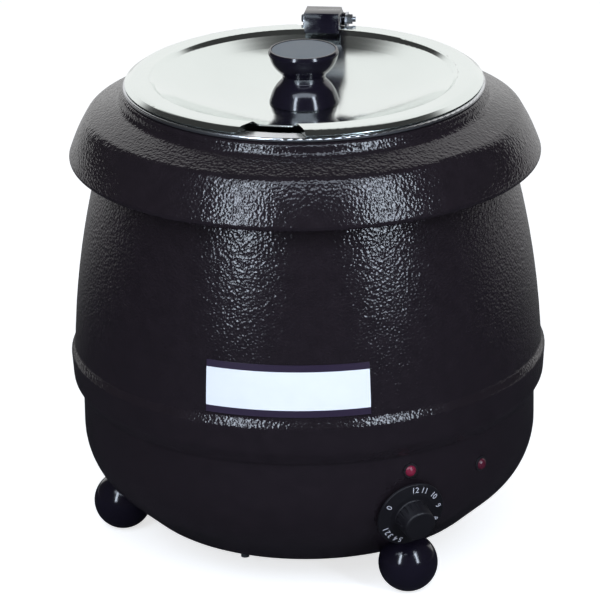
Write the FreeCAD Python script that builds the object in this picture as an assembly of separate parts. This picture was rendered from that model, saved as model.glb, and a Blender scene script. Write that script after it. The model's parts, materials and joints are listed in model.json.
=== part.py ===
import FreeCAD, Part
import math
import os

# Soup kettle: a water-bath well hung in a three-piece sheet shell on ball feet,
# with a lift-out pot, a hinged dished lid and a thermostat dial.
# Millimetres. The axis of the kettle is Z, the floor is z = 0 and the front faces -Y.
# Angles round the kettle run from the front towards +X.

Vector = FreeCAD.Vector
ORIGIN = Vector(0, 0, 0)
UP = Vector(0, 0, 1)

# Clearances
seat_gap = 0.1
seam_gap = 0.3
slide_gap = 0.3
hole_gap = 0.3
pin_gap = 0.05
cutter_reach = 12.0

# Shell
shell_wall = 1.2
belly_radius = 168.1
belly_height = 123.0
belly_neck_radius = 130.1
belly_end_rise = 9.0
band_radius = 170.3
band_step_height = 148.5
band_step_fillet = 5.0
band_shoulder_height = 143.0
band_shoulder_fillet = 4.0
band_foot_radius = 169.0
band_foot_height = 124.0
band_foot_fillet = 9.0
band_edge_height = 114.8
bowl_radius = 162.5
bowl_lip_gap = 0.5
bowl_lip_height = 119.0
bowl_lip_rise = 9.0
bowl_lip_fillet = 5.0
bowl_shoulder_height = 62.0
bowl_shoulder_fillet = 58.0
bowl_floor_radius = 114.0
bowl_floor_height = 19.0
bowl_floor_fillet = 30.0
access_radius = 62.0

# Collar, its heights measured down from its flat rim
rim_height = 336.0
neck_radius = 120.6
neck_drop = 14.0
neck_fillet = 2.0
crown_radius = 129.0
crown_fillet = 4.0
trough_radius = 131.0
trough_drop = 8.0
trough_fillet = 6.0
shoulder_radius = 153.5
shoulder_drop = 17.5
shoulder_fillet = 9.0
cheek_radius = 162.0
cheek_drop = 32.5
cheek_fillet = 110.0
brim_radius = 168.7
brim_drop = 50.8
brim_fillet = 3.5
brim_lip_drop = 51.7

# Label plate
label_width = 115.0
label_height = 37.2
label_middle = 169.7
label_thickness = 0.5
label_angle = 2.6

# Well, pot and lid
gasket_thickness = 1.0
gasket_inset = 1.8
gasket_width = 4.0
vessel_wall = 1.0
well_radius = 119.0
well_flange_radius = 126.6
well_flange_fillet = 2.5
well_corner = 14.0
pot_radius = 113.0
pot_floor = 108.3
pot_corner = 22.0
pot_flange_radius = 128.0
pot_flange_fillet = 4.0
pot_edge_drop = 2.4
pot_edge_fillet = 1.3
water_gap = 10.0
lid_wall = 1.0
lid_gap = 0.3
lid_inset = 1.4
bead_rise = 3.4
bead_outer_radius = 121.5
bead_outer_fillet = 7.0
bead_inner_radius = 109.0
bead_inner_fillet = 3.0
step_radius = 105.2
step_drop = 3.0
step_fillet = 2.5
dish_radius = 66.0
dish_depth = 20.0
dish_curve = 140.0
ladle_notch_angle = -3.0
ladle_notch_reach = 104.0
ladle_notch_width = 26.0
ladle_notch_mouth = 52.0
notch_corner = 3.0
notch_lip = 1.0
hinge_notch_width = 42.0
hinge_notch_reach = 116.8

# Lid knob
knob_height = 38.8
knob_base_radius = 24.9
knob_base_fillet = 0.8
knob_waist_rise = 10.3
knob_waist_radius = 21.7
knob_waist_curve = 22.0
knob_neck_radius = 15.3
knob_neck_rise = 17.0
knob_neck_length = 3.4
knob_neck_fillet = 1.2
knob_flare_rise = 27.4
knob_flare_radius = 22.2
knob_flare_curve = 18.0
knob_head_radius = 25.0
knob_head_drop = 2.6
knob_head_fillet = 2.2
knob_lip_radius = 23.9
knob_lip_fillet = 0.4
knob_disc_radius = 22.6
knob_disc_thickness = 1.2
knob_disc_sink = 0.3
knob_disc_fillet = 0.5
knob_screw_radius = 2.5
knob_screw_length = 16.0
knob_screw_spare = 2.0
knob_washer_radius = 9.0
knob_washer_thickness = 1.5

# Lid hinge
pin_radius = 2.0
pin_back = 126.0
pin_rise = 7.3
pin_tail = 5.6
bracket_sheet = 1.6
bracket_half_width = 16.0
bracket_front = 117.8
bracket_base_back = 126.0
bracket_back = 133.6
bracket_crest = 4.6
bracket_corner = 3.0
bracket_crown = 4.0
bracket_bend = 2.0
web_drop = 1.0
knuckle_radius = 4.8
block_half_width = 12.6
block_front = 98.0
block_foot_fillet = 1.0
block_front_fillet = 4.0
block_back_fillet = 3.0
block_top_depth = 18.0
block_height = 14.8
rivet_spacing = 16.0
rivet_radius = 2.0
rivet_head_radius = 3.6
rivet_head_rise = 0.8
leaf_screw_spacing = 15.0
leaf_screw_radius = 1.5
leaf_screw_bite = 8.0

# Feet
foot_radius = 21.0
foot_flat = 0.5
foot_circle = 137.0
foot_angles = {"front": 37.5, "rear": 157.5, "left": 277.5}
foot_screw_radius = 3.0
foot_screw_bite = 9.0

# Dial and thermostat
dial_angle = 33.0
dial_height = 70.0
dial_tilt = 14.0
dial_pad_radius = 20.0
dial_pad_rise = 1.0
dial_pad_depth = 7.0
dial_sink_depth = 2.3
dial_skirt_radius = 25.0
dial_skirt_thickness = 3.6
dial_skirt_bevel = 1.6
dial_edge_fillet = 0.5
dial_ledge = 4.0
dial_ledge_fillet = 1.0
dial_hub_radius = 12.5
dial_hub_tip_radius = 11.4
dial_hub_length = 14.0
dial_tip_fillet = 1.6
dial_flutes = 18
dial_flute_radius = 1.1
dial_gap = 0.6
shaft_radius = 3.0
shaft_bite = 12.0
shaft_tail = 6.0
shaft_spare = 0.5
thermostat_width = 44.0
thermostat_height = 30.0
thermostat_depth = 26.0
thermostat_screw_spacing = 28.0
thermostat_screw_radius = 1.75
thermostat_screw_bite = 8.0
bulb_radius = 3.0
bulb_length = 56.0
bulb_circle = 96.0
clip_width = 12.0
clip_sheet = 0.8
clip_ear = 6.0
capillary_radius = 0.9
capillary_bend = 6.5
capillary_rise = 8.0
capillary_lead = 16.0
capillary_sweep = 56.0
capillary_out = 16.0
capillary_dip = 5.0

# Lamps
lamp_places = {"power": (33.0, 102.0), "heating": (55.0, 91.0)}
lamp_lens_radius = 4.2
lamp_lens_rise = 3.2
lamp_lens_dome = 2.6
lamp_rim_radius = 5.2
lamp_rim_thickness = 1.0
lamp_body_radius = 3.6
lamp_body_length = 24.0

# Heater stack under the well
element_circle = 75.0
element_radius = 4.0
element_gap_angle = 40.0
element_bend = 12.0
element_tail = 22.0
clamp_radius = 88.0
clamp_thickness = 1.5
stud_radius = 4.0
stud_length = 38.0
spacer_radius = 6.0
spacer_length = 11.0
shield_radius = 90.0
shield_thickness = 1.0
cutout_radius = 8.0
cutout_height = 9.0
cutout_flange = 1.2
cutout_place = (-40.0, -25.0)
tab_thickness = 0.8
tab_width = 6.0
tab_length = 8.0
tab_spacing = 10.0
tail_hole_gap = 4.0
insulation_thickness = 9.0
insulation_foot = 128.0
insulation_top_drop = 24.0

# Tie rods, base plate and supply connection
rod_circle = 94.0
rod_radius = 3.0
rod_turn = 60.0
rod_tail = 9.0
base_plate_radius = 72.0
base_plate_thickness = 1.2
base_screw_circle = 67.0
base_screw_count = 4
base_screw_radius = 1.75
base_screw_bite = 6.0
vent_count = 6
vent_circle = 40.0
vent_radius = 5.0
terminal_angle = 205.0
terminal_circle = 80.0
terminal_length = 36.0
terminal_width = 18.0
terminal_height = 16.0
terminal_pitch = 11.0
terminal_screw_radius = 1.5
terminal_screw_bite = 7.0
wire_hole_radius = 2.2
wire_hole_height = 6.0
earth_angle = 245.0
earth_circle = 80.0
earth_radius = 2.0
earth_length = 16.0
earth_foot_radius = 5.0
earth_foot_thickness = 1.2
gland_angle = 205.0
gland_height = 98.0
gland_radius = 7.0
gland_bore = 4.0
gland_collar_radius = 10.0
gland_collar_straight = 5.0
gland_collar_length = 13.0
gland_fillet = 0.8
gland_tail = 9.0
gland_nut_radius = 10.5
gland_nut_thickness = 5.6

# Heights and radii that follow from the sizes above
belly_taper = belly_radius - belly_neck_radius
belly_curve = ((rim_height - belly_height) ** 2 + belly_taper ** 2) / (2 * belly_taper)
well_flange_top = rim_height + gasket_thickness + vessel_wall
pot_flange_top = well_flange_top + slide_gap + vessel_wall
lid_edge_radius = pot_flange_radius - lid_inset
lid_edge_height = pot_flange_top + lid_gap + lid_wall
bead_top = lid_edge_height + bead_rise
dish_floor = bead_top - dish_depth
well_floor = pot_floor - vessel_wall - water_gap
well_underside = well_floor - vessel_wall
element_height = well_underside - element_radius - seat_gap
clamp_top = element_height - element_radius - seat_gap
clamp_underside = clamp_top - clamp_thickness
pin_height = pot_flange_top + pin_rise
knob_disc_seat = dish_floor + knob_height - knob_disc_sink - knob_disc_thickness
bowl_floor_top = bowl_floor_height + shell_wall


def unit(a, b):
    """Direction from point a to point b as a pair, and the distance."""
    dr, dz = b[0] - a[0], b[1] - a[1]
    size = math.hypot(dr, dz)
    return (dr / size, dz / size), size


def shifted_outline(outline, distance):
    """The outline moved to its left by distance, with its corner radii to suit."""
    legs = [unit(a, b)[0] for a, b in zip(outline, outline[1:])]
    moved = []
    for index, (r, z, fillet) in enumerate(outline):
        before = legs[max(index - 1, 0)]
        after = legs[min(index, len(legs) - 1)]
        turn = before[0] * after[1] - before[1] * after[0]
        facing = 1.0 + before[0] * after[0] + before[1] * after[1]
        left = (-(before[1] + after[1]) / facing, (before[0] + after[0]) / facing)
        grown = fillet - distance if turn > 0 else fillet + distance
        moved.append((r + left[0] * distance, z + left[1] * distance, max(grown, 0.0) if fillet else 0.0))
    return moved


def rounded_edges(outline, place, closed=False):
    """Lines and tangent arcs along an outline of (u, v, corner radius), laid out by place."""
    count = len(outline)
    cuts = []
    for index, (u, v, fillet) in enumerate(outline):
        inner = closed or 0 < index < count - 1
        if not inner or fillet <= 0:
            cuts.append(((u, v), None, (u, v)))
            continue
        back, _ = unit((u, v), outline[index - 1])
        ahead, _ = unit((u, v), outline[(index + 1) % count])
        half = 0.5 * math.acos(max(-1.0, min(1.0, back[0] * ahead[0] + back[1] * ahead[1])))
        reach = fillet / math.tan(half)
        middle, _ = unit((0.0, 0.0), (back[0] + ahead[0], back[1] + ahead[1]))
        depth = fillet / math.sin(half) - fillet
        cuts.append(((u + back[0] * reach, v + back[1] * reach),
                     (u + middle[0] * depth, v + middle[1] * depth),
                     (u + ahead[0] * reach, v + ahead[1] * reach)))
    edges = []
    for index, (start, middle, end) in enumerate(cuts):
        if middle:
            edges.append(Part.Arc(place(*start), place(*middle), place(*end)).toShape())
        if index + 1 == count and not closed:
            break
        following = cuts[(index + 1) % count][0]
        if math.hypot(following[0] - end[0], following[1] - end[1]) > 1e-6:
            edges.append(Part.LineSegment(place(*end), place(*following)).toShape())
    return edges


def upright(r, z):
    return Vector(r, 0, z)


def flat(x, y):
    return Vector(x, y, 0)


def sideways(y, z):
    return Vector(0, y, z)


def turned(outline):
    """Solid of revolution from a closed outline of (radius, height, corner radius)."""
    edges = rounded_edges(outline, upright, closed=True)
    face = Part.Face(Part.Wire(Part.__sortEdges__(edges)))
    return face.revolve(ORIGIN, UP, 360)


def sheet_ring(outline, wall, first=0.0, spread=360.0):
    """Spun sheet from the outline, moved left by first, to its copy one wall further left."""
    faces = [shifted_outline(outline, first), shifted_outline(outline, first + wall)]
    edges = [edge for face in faces for edge in rounded_edges(face, upright)]
    for end in (0, -1):
        edges.append(Part.LineSegment(*[upright(*face[end][:2]) for face in faces]).toShape())
    section = Part.Face(Part.Wire(Part.__sortEdges__(edges)))
    return section.revolve(ORIGIN, UP, spread)


def prism(outline, place, sweep):
    """Solid swept from a closed outline with rounded corners."""
    wire = Part.Wire(Part.__sortEdges__(rounded_edges(outline, place, closed=True)))
    return Part.Face(wire).extrude(sweep)


def rod(radius, start, end):
    """Round bar along its own +Z between two heights."""
    return Part.makeCylinder(radius, end - start, Vector(0, 0, start))


def ring(outer, inner, bottom, top):
    return rod(outer, bottom, top).cut(rod(inner, bottom - 1, top + 1))


def block(x_size, y_size, bottom, top):
    """Box centred on the Z axis."""
    return Part.makeBox(x_size, y_size, top - bottom, Vector(-x_size / 2, -y_size / 2, bottom))


def hex_nut(bore, bottom):
    """Hexagon nut for a thread of this radius, standing on a height."""
    corners = [Vector(nut_corner(bore), 0, bottom)]
    for _ in range(6):
        corners.append(FreeCAD.Rotation(UP, 60).multVec(corners[-1]))
    body = Part.Face(Part.makePolygon(corners)).extrude(Vector(0, 0, nut_height(bore)))
    return body.cut(rod(bore + pin_gap, bottom - 1, bottom + nut_height(bore) + 1))


def nut_corner(bore):
    return 1.85 * bore


def nut_height(bore):
    return 1.6 * bore


def screw_head(radius):
    return 2.0 * radius


def pan_screw(radius, length):
    """Slotted pan-head screw: the head stands on z = 0 and the shank goes down."""
    head = Part.makeCone(screw_head(radius), 1.6 * radius, 1.2 * radius)
    slot = block(5 * radius, 0.5 * radius, 0.7 * radius, 2 * radius)
    return head.cut(slot).fuse(rod(radius, -length, 0.1)).removeSplitter()


def upturned(shape, height):
    """The shape turned upside down and set at a height, for a screw driven from below."""
    placed = shape.copy()
    placed.rotate(ORIGIN, Vector(1, 0, 0), 180)
    placed.translate(Vector(0, 0, height))
    return placed


def around(shape, angle):
    """The shape turned round the kettle from the front to an angle."""
    turned_copy = shape.copy()
    turned_copy.rotate(ORIGIN, UP, angle)
    return turned_copy


def on_wall(shape, angle, radius, height, tilt=0.0):
    """A shape made along +Z, set on the wall so that +Z points out and tilts down."""
    placed = shape.copy()
    placed.rotate(ORIGIN, Vector(1, 0, 0), 90 + tilt)
    placed.translate(Vector(0, -radius, height))
    return around(placed, angle)


def group(shapes):
    return Part.makeCompound(list(shapes))


# Outlines

def belly(height):
    """Outer radius of the upper shell's long curve at a height."""
    rise = height - belly_height
    return belly_radius - belly_curve + math.sqrt(belly_curve ** 2 - rise ** 2)


def arc_corner(low, high):
    """Corner whose fillet is the long curve between two heights."""
    low_angle = math.asin((low - belly_height) / belly_curve)
    high_angle = math.asin((high - belly_height) / belly_curve)
    middle, half = 0.5 * (low_angle + high_angle), 0.5 * (high_angle - low_angle)
    reach = belly_curve / math.cos(half)
    return (belly_radius - belly_curve + reach * math.cos(middle),
            belly_height + reach * math.sin(middle), belly_curve)


def collar_outline():
    return [(neck_radius, rim_height - neck_drop, 0.0),
            (neck_radius, rim_height, neck_fillet),
            (crown_radius, rim_height, crown_fillet),
            (trough_radius, rim_height - trough_drop, trough_fillet),
            (shoulder_radius, rim_height - shoulder_drop, shoulder_fillet),
            (cheek_radius, rim_height - cheek_drop, cheek_fillet),
            (brim_radius, rim_height - brim_drop, brim_fillet),
            (belly(rim_height - brim_lip_drop) + seam_gap, rim_height - brim_lip_drop, 0.0)]


def shell_top():
    """Height at which the upper shell's edge meets the underside of the collar's slope."""
    slope = (shoulder_drop - trough_drop) / (shoulder_radius - trough_radius)
    thickness = (shell_wall + seam_gap) * math.hypot(1.0, slope)
    low, high = rim_height - brim_drop, rim_height
    for _ in range(60):
        height = 0.5 * (low + high)
        underside = rim_height - trough_drop - thickness - slope * max(belly(height) - trough_radius, 0.0)
        low, high = (height, high) if height < underside else (low, height)
    return low


def shell_outline():
    top = shell_top()
    return [(belly(top), top, 0.0),
            arc_corner(band_step_height + belly_end_rise, top),
            (belly(band_step_height), band_step_height, band_step_fillet),
            (band_radius, band_shoulder_height, band_shoulder_fillet),
            (band_foot_radius, band_foot_height, band_foot_fillet),
            (bowl_radius + seam_gap + shell_wall, band_edge_height, 0.0)]


def bowl_outline():
    lip = belly(band_step_height) - shell_wall
    return [(lip, band_step_height - bowl_lip_gap, 0.0),
            (lip, bowl_lip_height + bowl_lip_rise, bowl_lip_fillet),
            (bowl_radius, bowl_lip_height, bowl_lip_fillet),
            (bowl_radius, bowl_shoulder_height, bowl_shoulder_fillet),
            (bowl_floor_radius, bowl_floor_height, bowl_floor_fillet),
            (access_radius, bowl_floor_height, 0.0)]


def bowl_slope():
    """Unit direction up the bowl's slanted wall and its outward normal, as (r, z) pairs."""
    along, _ = unit((bowl_floor_radius, bowl_floor_height), (bowl_radius, bowl_shoulder_height))
    return along, (along[1], -along[0])


def bowl_shoulder_radius_at(height):
    """Outer radius of the bowl's rounded shoulder at a height."""
    along, _ = bowl_slope()
    turn = math.acos(along[1])
    centre_height = bowl_shoulder_height + bowl_shoulder_fillet * math.tan(turn / 2)
    drop = max(centre_height - height, 0.0)
    return bowl_radius - bowl_shoulder_fillet + math.sqrt(bowl_shoulder_fillet ** 2 - drop ** 2)


def lid_outline():
    return [(lid_edge_radius, lid_edge_height, 0.0),
            (bead_outer_radius, bead_top, bead_outer_fillet),
            (bead_inner_radius, bead_top, bead_inner_fillet),
            (step_radius, bead_top - step_drop, step_fillet),
            (dish_radius, dish_floor, dish_curve),
            (0.0, dish_floor, 0.0)]


def wall_sag(reach):
    """How far the bowl's inner wall falls behind a flat face of this half-width, with a seat gap."""
    inner = bowl_radius - shell_wall
    return inner - math.sqrt(inner ** 2 - reach ** 2) + seat_gap


# Places shared by pieces that fit together

dial_radius = bowl_shoulder_radius_at(dial_height)
wall_out = bowl_slope()[1]
foot_centre_height = foot_radius - foot_flat
foot_seat = ((foot_circle - bowl_floor_radius) * wall_out[0]
             + (foot_centre_height - bowl_floor_height) * wall_out[1])
foot_lean = math.degrees(math.asin(-wall_out[1]))
rod_angles = [rod_turn + angle for angle in foot_angles.values()]
base_screw_angles = [360.0 * k / base_screw_count for k in range(base_screw_count)]


def at_dial(shape):
    return on_wall(shape, dial_angle, dial_radius, dial_height, dial_tilt)


def at_foot(shape, angle):
    """A shape made along +Z, set so that +Z runs from the ball's centre down and out."""
    return on_wall(shape, angle, foot_circle, foot_centre_height, foot_lean)


def at_circle(shape, circle, angle):
    """A shape made on the axis, moved out to a circle and round to an angle."""
    placed = shape.copy()
    placed.translate(Vector(0, -circle, 0))
    return around(placed, angle)


# Shell pieces

def through(radius, height=0.0):
    """Cutter for a hole of this radius through a sheet at a height."""
    return rod(radius, height - cutter_reach, height + cutter_reach)


def thermostat_screw_places():
    return [Vector(side * thermostat_screw_spacing / 2, 0, 0) for side in (-1, 1)]


def lower_bowl():
    """Lower shell with a boss for the dial and holes for what is screwed to it."""
    boss = at_dial(rod(dial_pad_radius, -dial_pad_depth, dial_pad_rise))
    bowl = sheet_ring(bowl_outline(), -shell_wall).fuse(boss).removeSplitter()
    cuts = [at_dial(through(shaft_radius + hole_gap))]
    for place in thermostat_screw_places():
        sink = rod(screw_head(thermostat_screw_radius) + hole_gap, dial_pad_rise - dial_sink_depth, cutter_reach)
        hole = through(thermostat_screw_radius + hole_gap).fuse(sink)
        hole.translate(place)
        cuts.append(at_dial(hole))
    for angle, height in lamp_places.values():
        cuts.append(on_wall(through(lamp_body_radius + hole_gap), angle, bowl_radius, height))
    cuts.append(on_wall(through(gland_radius + hole_gap), gland_angle, bowl_radius, gland_height))
    for angle in foot_angles.values():
        cuts.append(at_foot(through(foot_screw_radius + hole_gap, -foot_seat), angle))
    floor_hole = through(rod_radius + hole_gap, bowl_floor_height)
    cuts += [at_circle(floor_hole, rod_circle, angle) for angle in rod_angles]
    base_hole = through(base_screw_radius + hole_gap, bowl_floor_height)
    cuts += [at_circle(base_hole, base_screw_circle, angle) for angle in base_screw_angles]
    return bowl.cut(group(cuts))


def bowl_core(offset):
    """Solid filling the bowl out to its outer face plus an offset."""
    outline = shifted_outline(bowl_outline(), offset)
    return turned([(0.0, outline[0][1], 0.0)] + outline + [(0.0, outline[-1][1], 0.0)])


def upper_shell():
    return sheet_ring(shell_outline(), -shell_wall)


def collar():
    return sheet_ring(collar_outline(), -shell_wall)


def label_plate():
    """Thin plate bent to the shell's curve."""
    low, high = label_middle - label_height / 2, label_middle + label_height / 2
    outline = [(belly(high), high, 0.0), arc_corner(low, high), (belly(low), low, 0.0)]
    spread = math.degrees(label_width / belly(label_middle))
    plate = sheet_ring(outline, label_thickness, seat_gap, spread)
    return around(plate, label_angle - 90 - spread / 2)


# Well, pot and lid

def water_well():
    """Water-bath well with the stud that carries the heater stack."""
    outline = [(well_flange_radius, well_flange_top, 0.0),
               (well_radius, well_flange_top, well_flange_fillet),
               (well_radius, well_floor, well_corner),
               (0.0, well_floor, 0.0)]
    stud = rod(stud_radius, well_underside - stud_length, well_floor)
    return sheet_ring(outline, vessel_wall).fuse(stud).removeSplitter()


def well_gasket():
    inner = neck_radius + gasket_inset
    return ring(inner + gasket_width, inner, rim_height, rim_height + gasket_thickness)


def insulation_jacket():
    inner = well_radius + vessel_wall + seam_gap
    return ring(inner + insulation_thickness, inner, insulation_foot, rim_height - insulation_top_drop)


def soup_pot():
    outline = [(pot_flange_radius, pot_flange_top - pot_edge_drop, 0.0),
               (pot_flange_radius, pot_flange_top, pot_edge_fillet),
               (pot_radius, pot_flange_top, pot_flange_fillet),
               (pot_radius, pot_floor, pot_corner),
               (0.0, pot_floor, 0.0)]
    return sheet_ring(outline, vessel_wall).cut(at_rivets(through(rivet_radius + pin_gap, pot_flange_top)))


def at_rivets(shape):
    """A copy of the shape at each rivet of the hinge bracket."""
    row = 0.5 * (bracket_front + bracket_base_back)
    return group(shape.translated(Vector(side * rivet_spacing / 2, row, 0)) for side in (-1, 1))


def notch(sizes, grow):
    """Upright cutter for a notch in the lid's rim, grown sideways by a margin."""
    half_inner, half_mouth, reach, mouth = sizes
    end = reach - math.copysign(grow, reach)
    outline = [(-half_inner - grow, end, notch_corner + grow),
               (half_inner + grow, end, notch_corner + grow),
               (half_mouth + grow, mouth, 0.0),
               (-half_mouth - grow, mouth, 0.0)]
    cutter = prism(outline, flat, Vector(0, 0, 2 * dish_depth))
    cutter.translate(Vector(0, 0, dish_floor))
    return cutter


def lid():
    """Dished lid with a lipped ladle notch in front and a plain hinge notch behind."""
    outline = lid_outline()
    foot = lid_edge_height - lid_wall
    lean = (step_radius - dish_radius) / (bead_top - step_drop - dish_floor)
    inner = step_radius - lean * (bead_top - step_drop - foot)
    under_bead = turned([(inner, foot, 0.0), (lid_edge_radius - lid_wall, foot, 0.0)] + outline[:4])
    mouth = pot_flange_radius + cutter_reach
    spread = (ladle_notch_mouth - ladle_notch_width) / (2 * (lid_edge_radius - ladle_notch_reach))
    wide = ladle_notch_width / 2 + spread * (mouth - ladle_notch_reach)
    ladle = (ladle_notch_width / 2, wide, -ladle_notch_reach, -mouth)
    hinge = (hinge_notch_width / 2, hinge_notch_width / 2, hinge_notch_reach, mouth)
    lip = around(notch(ladle, notch_lip), ladle_notch_angle).common(under_bead)
    sheet = sheet_ring(outline, lid_wall).fuse(lip)
    cuts = [around(notch(ladle, 0.0), ladle_notch_angle), notch(hinge, 0.0)]
    sheet = sheet.cut(group(cuts)).removeSplitter()
    holes = [through(knob_screw_radius + hole_gap, dish_floor),
             at_leaf_screws(through(leaf_screw_radius + hole_gap, bead_top))]
    return sheet.cut(group(holes))


def at_leaf_screws(shape):
    """A copy of the shape at each screw that holds the hinge block to the lid."""
    row = hinge_notch_reach - screw_head(leaf_screw_radius) - seam_gap
    return group(shape.translated(Vector(side * leaf_screw_spacing / 2, row, 0)) for side in (-1, 1))


# Lid knob

def lid_knob():
    """Turned knob: a waisted foot, a short neck and a flared head with a recess for its disc."""
    base, top = dish_floor, dish_floor + knob_height
    neck = base + knob_neck_rise
    outline = [(0.0, base, 0.0),
               (knob_base_radius, base, knob_base_fillet),
               (knob_waist_radius, base + knob_waist_rise, knob_waist_curve),
               (knob_neck_radius, neck, knob_neck_fillet),
               (knob_neck_radius, neck + knob_neck_length, knob_neck_fillet),
               (knob_flare_radius, base + knob_flare_rise, knob_flare_curve),
               (knob_head_radius, top - knob_head_drop, knob_head_fillet),
               (knob_lip_radius, top, knob_lip_fillet),
               (knob_disc_radius + seat_gap, top, 0.0),
               (knob_disc_radius + seat_gap, knob_disc_seat, 0.0),
               (0.0, knob_disc_seat, 0.0)]
    return turned(outline).cut(rod(knob_screw_radius + pin_gap, base - cutter_reach, base + knob_screw_length))


def lid_knob_disc():
    top = knob_disc_seat + knob_disc_thickness
    return turned([(0.0, knob_disc_seat, 0.0),
                   (knob_disc_radius, knob_disc_seat, 0.0),
                   (knob_disc_radius, top, knob_disc_fillet),
                   (0.0, top, 0.0)])


def lid_knob_washer():
    top = dish_floor - lid_wall
    return ring(knob_washer_radius, knob_screw_radius + hole_gap, top - knob_washer_thickness, top)


def lid_knob_screw():
    grip = lid_wall + knob_washer_thickness
    return upturned(pan_screw(knob_screw_radius, grip + knob_screw_length - knob_screw_spare), dish_floor - grip)


# Lid hinge

def across(shape):
    """A shape made along +Z, laid along +X at the hinge line."""
    laid = shape.copy()
    laid.rotate(ORIGIN, Vector(0, 1, 0), 90)
    laid.translate(Vector(0, pin_back, pin_height))
    return laid


def hinge_bracket():
    """Folded bracket on the pot flange: base, two cheeks and a rear web that stops the lid."""
    width = 2 * bracket_half_width
    base = Part.makeBox(width, bracket_base_back - bracket_front, bracket_sheet,
                        Vector(-bracket_half_width, bracket_front, pot_flange_top))
    crest = pin_height + bracket_crest
    cheek_outline = [(bracket_front, pot_flange_top, 0.0),
                     (bracket_front, pin_height, bracket_corner),
                     (pin_back - bracket_crest, crest, bracket_crown),
                     (pin_back + bracket_crest, crest, bracket_crown),
                     (bracket_back, pin_height, bracket_corner),
                     (bracket_back, pot_flange_top + bracket_sheet, bracket_bend),
                     (bracket_base_back, pot_flange_top, bracket_bend / 2)]
    cheek = prism(cheek_outline, sideways, Vector(bracket_sheet, 0, 0))
    cheeks = [cheek.translated(Vector(x, 0, 0)) for x in (-bracket_half_width, bracket_half_width - bracket_sheet)]
    web_foot = pot_flange_top + 2 * bracket_sheet
    web = Part.makeBox(width, bracket_sheet, pin_height - web_drop - web_foot,
                       Vector(-bracket_half_width, bracket_back - bracket_sheet, web_foot))
    bracket = base.fuse(cheeks + [web]).removeSplitter()
    pin_hole = across(rod(pin_radius + pin_gap, -width, width))
    return bracket.cut(group([pin_hole, at_rivets(through(rivet_radius + pin_gap, pot_flange_top))]))


def bracket_rivets():
    top = pot_flange_top + bracket_sheet
    head = Part.makeCone(rivet_head_radius, rivet_radius, rivet_head_rise, Vector(0, 0, top))
    return at_rivets(rod(rivet_radius, pot_flange_top - vessel_wall, top).fuse(head).removeSplitter())


def hinge_pin():
    head = Part.makeCone(1.3 * pin_radius, 1.8 * pin_radius, pin_radius,
                         Vector(0, 0, -bracket_half_width - pin_radius - seat_gap))
    tail = bracket_half_width + pin_tail
    return across(head.fuse(rod(pin_radius, -bracket_half_width - seat_gap, tail)).removeSplitter())


def hinge_pin_nut():
    return across(hex_nut(pin_radius, bracket_half_width + seat_gap))


def hinge_block():
    """Moulded block on the lid's bead, with a knuckle that runs between the cheeks."""
    top = bead_top + block_height
    crest = (block_front + block_top_depth, top)
    heading, distance = unit((pin_back, pin_height), crest)
    lean = math.atan2(heading[1], heading[0]) - math.acos(knuckle_radius / distance)
    outline = [(block_front, bead_top, block_foot_fillet),
               (pin_back, bead_top, 0.0),
               (pin_back, pin_height, 0.0),
               (pin_back + knuckle_radius * math.cos(lean), pin_height + knuckle_radius * math.sin(lean), 0.0),
               (crest[0], crest[1], block_back_fillet),
               (block_front, top, block_front_fillet)]
    body = prism(outline, sideways, Vector(2 * block_half_width, 0, 0))
    body.translate(Vector(-block_half_width, 0, 0))
    reach = bracket_half_width - bracket_sheet - seam_gap
    body = body.fuse(across(rod(knuckle_radius, -reach, reach))).removeSplitter()
    pin_hole = across(rod(pin_radius + pin_gap, -2 * reach, 2 * reach))
    screw_hole = rod(leaf_screw_radius + pin_gap, bead_top - 1, bead_top + leaf_screw_bite + 1)
    return body.cut(group([pin_hole, at_leaf_screws(screw_hole)]))


def leaf_screws():
    return at_leaf_screws(upturned(pan_screw(leaf_screw_radius, lid_wall + leaf_screw_bite), bead_top - lid_wall))


# Feet

def foot(angle):
    """Ball foot, flattened below and cut to the bowl above, with a threaded bore."""
    ball = Part.makeSphere(foot_radius, Vector(0, -foot_circle, foot_centre_height))
    ball = ball.cut(block(4 * foot_circle, 4 * foot_circle, -2 * foot_radius, 0))
    ball = around(ball, angle).cut(bowl_core(seat_gap))
    bore = rod(foot_screw_radius + pin_gap, -foot_radius, foot_screw_bite + 1 - foot_seat)
    return ball.cut(at_foot(bore, angle))


def foot_screws():
    screw = upturned(pan_screw(foot_screw_radius, shell_wall + 2 * seat_gap + foot_screw_bite),
                     -foot_seat - shell_wall - seat_gap)
    return group(at_foot(screw, angle) for angle in foot_angles.values())


# Dial and thermostat

def control_knob():
    """Skirted knob with a fluted grip, on the thermostat shaft."""
    back = dial_pad_rise + dial_gap
    front = back + dial_skirt_thickness
    tip = front + dial_hub_length
    outline = [(0.0, back, 0.0),
               (dial_skirt_radius, back, dial_edge_fillet),
               (dial_skirt_radius, front - dial_skirt_bevel, dial_edge_fillet),
               (dial_hub_radius + dial_ledge, front, dial_ledge_fillet),
               (dial_hub_radius, front, dial_ledge_fillet),
               (dial_hub_tip_radius, tip, dial_tip_fillet),
               (0.0, tip, 0.0)]
    flute = rod(dial_flute_radius, front + dial_ledge_fillet, tip + cutter_reach)
    flutes = [at_circle(flute, dial_hub_radius + seam_gap, 360.0 * k / dial_flutes) for k in range(dial_flutes)]
    bore = rod(shaft_radius + pin_gap, back - 1, back + shaft_bite)
    return at_dial(turned(outline).cut(group(flutes)).cut(bore))


def thermostat_shaft():
    """Shaft pressed into the knob, turning in the thermostat's bush."""
    return at_dial(rod(shaft_radius, -dial_pad_depth - shaft_tail,
                       dial_pad_rise + dial_gap + shaft_bite - shaft_spare))


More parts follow.
